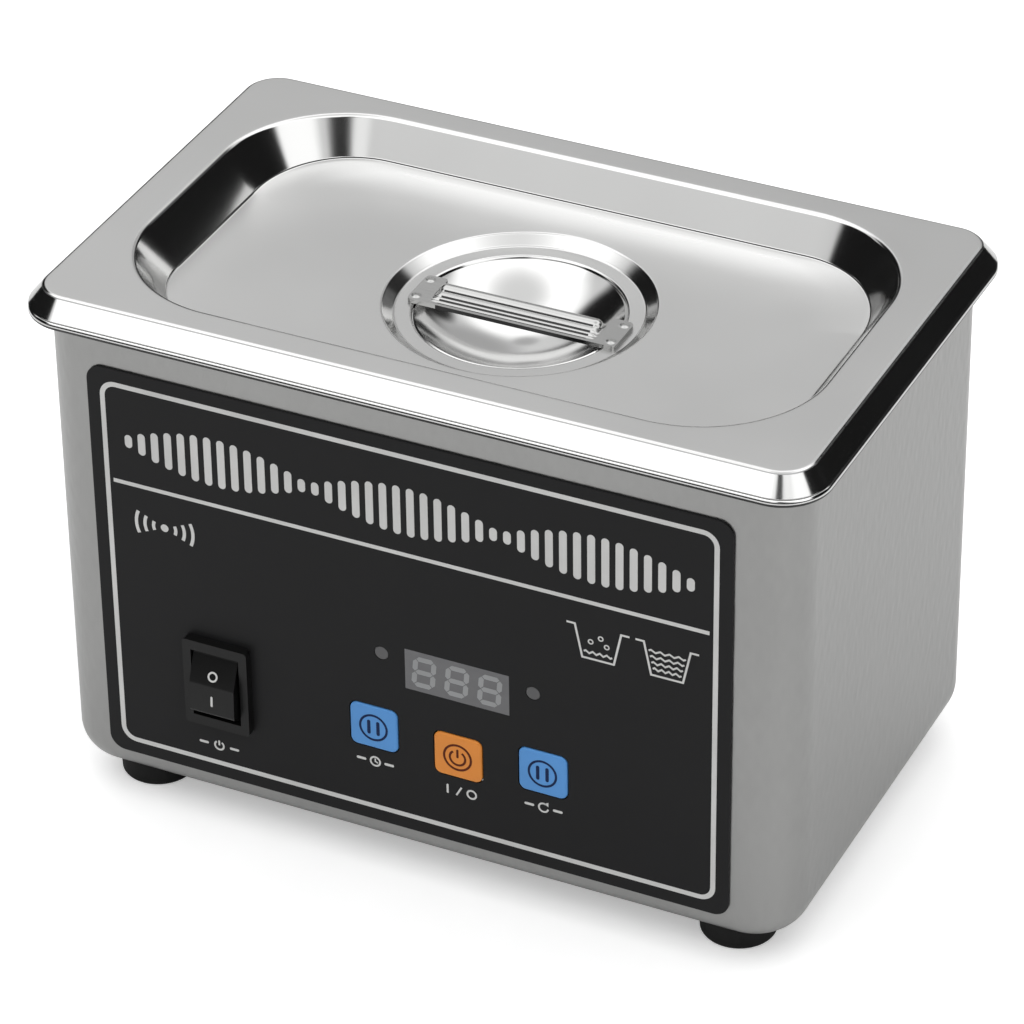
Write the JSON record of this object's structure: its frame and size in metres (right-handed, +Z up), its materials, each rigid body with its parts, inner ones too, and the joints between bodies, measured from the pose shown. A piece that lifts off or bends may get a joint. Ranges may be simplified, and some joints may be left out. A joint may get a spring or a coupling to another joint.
{
  "type": "ultrasonic cleaner",
  "caption": "Bench ultrasonic cleaner with a stainless bath, a lift-off lid, a rocker switch, timer display and push buttons.",
  "frame": {"origin": "on the bench under the middle of the four feet, at the centre of the footprint of the housing", "axes": "+Z up; +X to the right of someone who faces the control panel; the control panel looks along -Y and the mains inlet along +Y"},
  "size_m": [0.176, 0.1133, 0.1218],
  "materials": {
    "housing_steel": "satin, embossed all over",
    "cover_steel": "satin",
    "bath_steel": "bright drawn",
    "lid_steel": "satin faces, polished pressed walls",
    "handle_steel": "satin",
    "white_silicone": "matte",
    "panel_film": "fine textured film",
    "display_lens": "smoked gloss",
    "black_plastic": "matte",
    "led_lens": "frosted",
    "circuit_board": "solder mask",
    "plated_steel": "zinc plate",
    "switch_plastic": "semi-gloss",
    "blue_button": "semi-gloss",
    "orange_button": "semi-gloss",
    "horn_aluminium": "turned",
    "piezo_ceramic": "matte",
    "copper_sheet": "bare copper sheet",
    "steel_mass": "turned",
    "white_insulator": "matte",
    "brass_fitting": "bright",
    "ferrite": "sintered",
    "enamelled_wire": "enamelled",
    "heat_sink_aluminium": "extruded",
    "capacitor_sleeve": "shrunk sleeve",
    "green_plastic": "matte",
    "inlet_plastic": "fine grain",
    "red_insulation": "matte",
    "green_insulation": "matte",
    "white_insulation": "matte",
    "grey_insulation": "matte",
    "foot_rubber": "matte"
  },
  "bodies": {
    "base": {"housing": "housing_steel", "bottom_cover": "cover_steel", "tank": "bath_steel", "rim_seal": "white_silicone", "front_panel": "panel_film", "display_window": "display_lens", "display_module": "black_plastic", "indicator_leds": "led_lens", "control_board": "circuit_board", "tact_switches": "black_plastic", "board_pillars": "plated_steel", "switch_body": "switch_plastic", "switch_terminals": "plated_steel", "transducer_horn": "horn_aluminium", "piezo_rings": "piezo_ceramic", "transducer_electrodes": "copper_sheet", "transducer_back_mass": "steel_mass", "transducer_bolt": "plated_steel", "bolt_sleeve": "white_insulator", "driver_board": "circuit_board", "board_standoffs": "brass_fitting", "board_screws": "plated_steel", "transformer_core": "ferrite", "transformer_winding": "enamelled_wire", "heat_sink": "heat_sink_aluminium", "power_transistors": "black_plastic", "filter_capacitors": "capacitor_sleeve", "toroid_inductor": "enamelled_wire", "mains_fuse": "white_insulator", "terminal_block": "green_plastic", "power_inlet": "inlet_plastic", "inlet_pins": "brass_fitting", "inlet_screws": "plated_steel", "earth_stud": "brass_fitting", "mains_wires": "red_insulation", "switch_wires": "red_insulation", "earth_wire": "green_insulation", "transducer_wires": "white_insulation", "display_cable": "grey_insulation", "left_front_foot": "foot_rubber", "right_front_foot": "foot_rubber", "left_rear_foot": "foot_rubber", "right_rear_foot": "foot_rubber", "foot_screws": "plated_steel", "foot_nuts": "plated_steel"},
    "rocker": {"power_rocker": "switch_plastic"},
    "time_key": {"time_button": "blue_button"},
    "on_off_key": {"on_off_button": "orange_button"},
    "reset_key": {"reset_button": "blue_button"},
    "lid_body": {"lid": "lid_steel", "lid_handle": "handle_steel"}
  },
  "joints": [
    {"name": "rocker_tilt", "type": "hinge", "parent": "base", "child": "rocker", "pos_m": [-0.044, -0.05, 0.0376], "axis": [1, 0, 0], "range_deg": [0, 24]},
    {"name": "time_press", "type": "slide", "parent": "base", "child": "time_key", "axis": [0, 1, 0], "range_m": [0, 0.0005], "stiffness_N_per_m": 900},
    {"name": "on_off_press", "type": "slide", "parent": "base", "child": "on_off_key", "axis": [0, 1, 0], "range_m": [0, 0.0005], "stiffness_N_per_m": 900},
    {"name": "reset_press", "type": "slide", "parent": "base", "child": "reset_key", "axis": [0, 1, 0], "range_m": [0, 0.0005], "stiffness_N_per_m": 900},
    {"name": "lid_lift", "type": "slide", "parent": "base", "child": "lid_body", "axis": [0, 0, 1], "range_m": [0, 0.08]}
  ]
}
